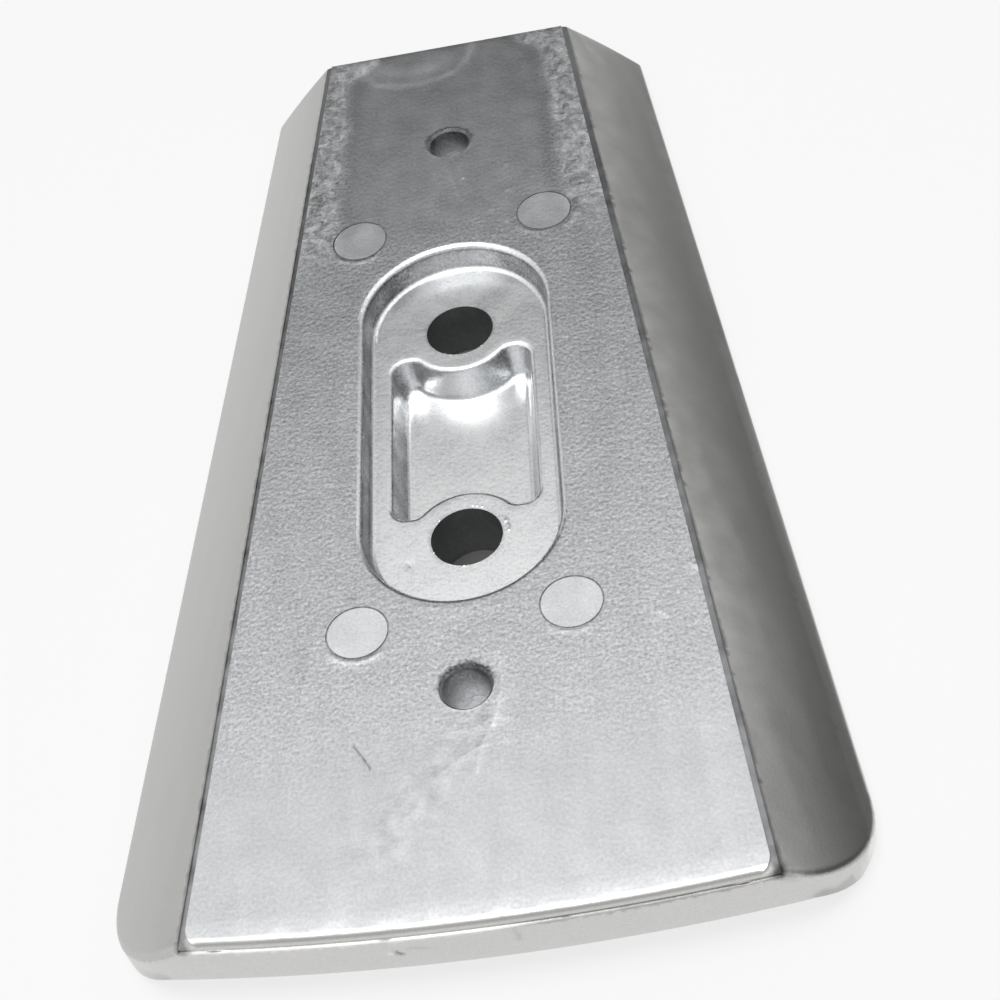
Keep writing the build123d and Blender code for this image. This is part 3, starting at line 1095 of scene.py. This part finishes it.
def paper_material(name, tone):
    """Dull grey paper."""
    material = bpy.data.materials.new(name)
    material.use_nodes = True
    paper = material.node_tree.nodes["Principled BSDF"]
    paper.inputs["Base Color"].default_value = (tone, tone, tone, 1)
    paper.inputs["Roughness"].default_value = PAPER_ROUGHNESS
    paper.inputs["Specular IOR Level"].default_value = 0.0
    return material


def studio_floor():
    """Pale floor that looks white and still takes the casting's shadow."""
    material = paper_material("floor_paper", FLOOR_TONE)
    nodes, links = material.node_tree.nodes, material.node_tree.links
    glow = nodes.new("ShaderNodeEmission")
    mix = nodes.new("ShaderNodeMixShader")
    links.new(maths(nodes, links, "MULTIPLY", seen_factor(nodes, links), FLOOR_GLOW_SHARE), mix.inputs[0])
    links.new(nodes["Principled BSDF"].outputs[0], mix.inputs[1])
    links.new(glow.outputs[0], mix.inputs[2])
    links.new(mix.outputs[0], nodes["Material Output"].inputs["Surface"])
    board("studio_floor", level_corners(FLOOR_REACH, FLOOR_REACH, FLOOR_Z), material)


def shaded_underlay():
    """Dark sheet under the casting as painted shade, seen only down the two bolt holes."""
    material = paper_material("underlay_painted_shade", UNDERLAY_TONE)
    board("shaded_underlay", level_corners(*UNDERLAY_REACH, UNDERLAY_Z), material)


# Grey cards: their corners in metres, low edge first, the tones at the low and the high edge,
# and the shares of the way up between which the tone changes
CARDS = {
    "far_left_card": {
        "corners": ((-0.80, 0.25, 0), (-0.35, 0.5, 0), (-0.35, 0.5, 0.95), (-0.80, 0.25, 0.95)),
        "tones": (0.64, 0.64), "change": (0.0, 1.0),
    },
    "far_card": {
        "corners": ((-0.35, 0.5, 0), (0.28, 0.5, 0), (0.28, 0.5, 0.75), (-0.35, 0.5, 0.75)),
        "tones": (0.02, 1.06), "change": (0.50, 0.98),
    },
    "far_right_card": {
        "corners": ((0.28, 0.5, 0), (0.62, 0.5, 0), (0.62, 0.5, 0.60), (0.28, 0.5, 0.60)),
        "tones": (0.20, 0.80), "change": (0.10, 0.70),
    },
    "right_card": {
        "corners": ((0.62, 0.50, 0), (0.62, -0.40, 0), (0.62, -0.40, 0.45), (0.62, 0.50, 0.45)),
        "tones": (0.02, 0.66), "change": (0.06, 0.60),
    },
    "right_floor_card": {
        "corners": ((0.058, -0.090, 0), (0.62, -0.40, 0), (0.62, 0.50, 0), (0.043, 0.125, 0)),
        "tones": (0.0, 0.12), "change": (0.35, 0.95),
    },
    "near_card": {
        "corners": ((0.60, -0.6, 0), (-0.60, -0.6, 0), (-0.60, -0.6, 0.70), (0.60, -0.6, 0.70)),
        "tones": (0.90, 0.50), "change": (0.0, 0.35),
    },
}


def studio_cards():
    """Graded grey cards that stand out of the picture, for the metal to mirror."""
    for name, card in CARDS.items():
        material = bpy.data.materials.new(name + "_grey")
        material.use_nodes = True
        nodes, links = material.node_tree.nodes, material.node_tree.links
        place = nodes.new("ShaderNodeSeparateXYZ")
        links.new(nodes.new("ShaderNodeTexCoord").outputs["UV"], place.inputs[0])
        grade = remap(nodes, links, place.outputs["Y"], card["change"], card["tones"])
        grade.node.interpolation_type = "SMOOTHSTEP"
        glow = nodes.new("ShaderNodeEmission")
        links.new(grade, glow.inputs["Strength"])
        links.new(glow.outputs[0], nodes["Material Output"].inputs["Surface"])
        sheet = board(name, card["corners"], material)
        sheet.visible_camera = False
        sheet.visible_shadow = False
        sheet.visible_diffuse = False


# Soft lamp over the casting; watts
LAMP_PLACE = (-0.05, -0.14, 0.84)
LAMP_SIZE = 0.45
LAMP_POWER = 3.6


def studio_lamp():
    """Large soft lamp that looks at the casting's middle."""
    data = bpy.data.lights.new("overhead_soft_box", "AREA")
    data.shape = "SQUARE"
    data.size = LAMP_SIZE
    data.energy = LAMP_POWER
    lamp = bpy.data.objects.new("overhead_soft_box", data)
    turn = (-Vector(LAMP_PLACE)).to_track_quat("-Z", "Y").to_matrix().to_4x4()
    lamp.matrix_world = Matrix.Translation(LAMP_PLACE) @ turn
    bpy.context.scene.collection.objects.link(lamp)


def camera():
    """Camera at the picture's viewing angle."""
    data = bpy.data.cameras.new("picture_camera")
    data.lens = FOCAL_LENGTH
    data.sensor_width = SENSOR_WIDTH
    data.clip_start = 0.01
    holder = bpy.data.objects.new("picture_camera", data)
    place = Vector(CAMERA_PLACE) * MM
    aim = (Vector(CAMERA_AIM) * MM - place).normalized()
    turn = aim.to_track_quat("-Z", "Y").to_matrix()
    roll = Matrix.Rotation(math.radians(CAMERA_ROLL), 3, "Z")
    holder.matrix_world = Matrix.Translation(place) @ (turn @ roll).to_4x4()
    bpy.context.scene.collection.objects.link(holder)
    bpy.context.scene.camera = holder


def main():
    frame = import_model()
    node = frame["nodes"]["anode_body"]
    low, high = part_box(node.name)
    ends = (low.y / MM, high.y / MM)
    bm = casting_mesh(node)
    round_nose_edge(bm, *ends)
    finishes = [finish_at(face.calc_center_median() / MM, face.normal, *ends) for face in bm.faces]
    give_relief(bm, *ends)
    add_burrs(bm)
    finishes += [BURR_FINISH] * (len(bm.faces) - len(finishes))
    bm.normal_update()
    soften_corners(bm, *ends)
    mesh = bpy.data.meshes.new("cast_anode")
    bm.to_mesh(mesh)
    bm.free()
    settle_normals(mesh)
    anode = bpy.data.objects.new("cast_anode", mesh)
    bpy.context.scene.collection.objects.link(anode)
    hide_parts(node.name)
    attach(anode, "root")
    dress(mesh, finishes)
    studio_air()
    studio_floor()
    shaded_underlay()
    studio_cards()
    studio_lamp()
    camera()
    bpy.context.scene.view_settings.view_transform = "Standard"


main()
